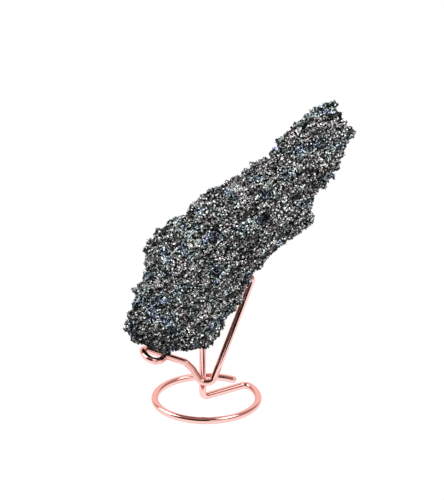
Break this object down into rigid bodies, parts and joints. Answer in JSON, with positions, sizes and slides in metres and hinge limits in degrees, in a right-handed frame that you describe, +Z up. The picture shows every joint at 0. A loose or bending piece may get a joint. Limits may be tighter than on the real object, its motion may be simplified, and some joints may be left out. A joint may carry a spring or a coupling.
{
  "type": "silicon carbide crystal crust on a wire stand",
  "caption": "Slab of dark iridescent silicon carbide crystal crust leaning on a rose-gold bent-wire stand with an open ring foot.",
  "frame": {"origin": "below the middle of the whole object's box, on the surface that the ring foot stands on", "axes": "+Z up, +X to the side that the slab's upper end leans to, -Y the front that the crystal face looks to"},
  "size_m": [0.1208, 0.0584, 0.1658],
  "materials": {
    "silicon_carbide": "gloss",
    "rose_gold_wire": "polished"
  },
  "bodies": {
    "root": {"silicon_carbide": "silicon_carbide", "base_wire": "rose_gold_wire", "cradle_wire": "rose_gold_wire"}
  },
  "joints": []
}
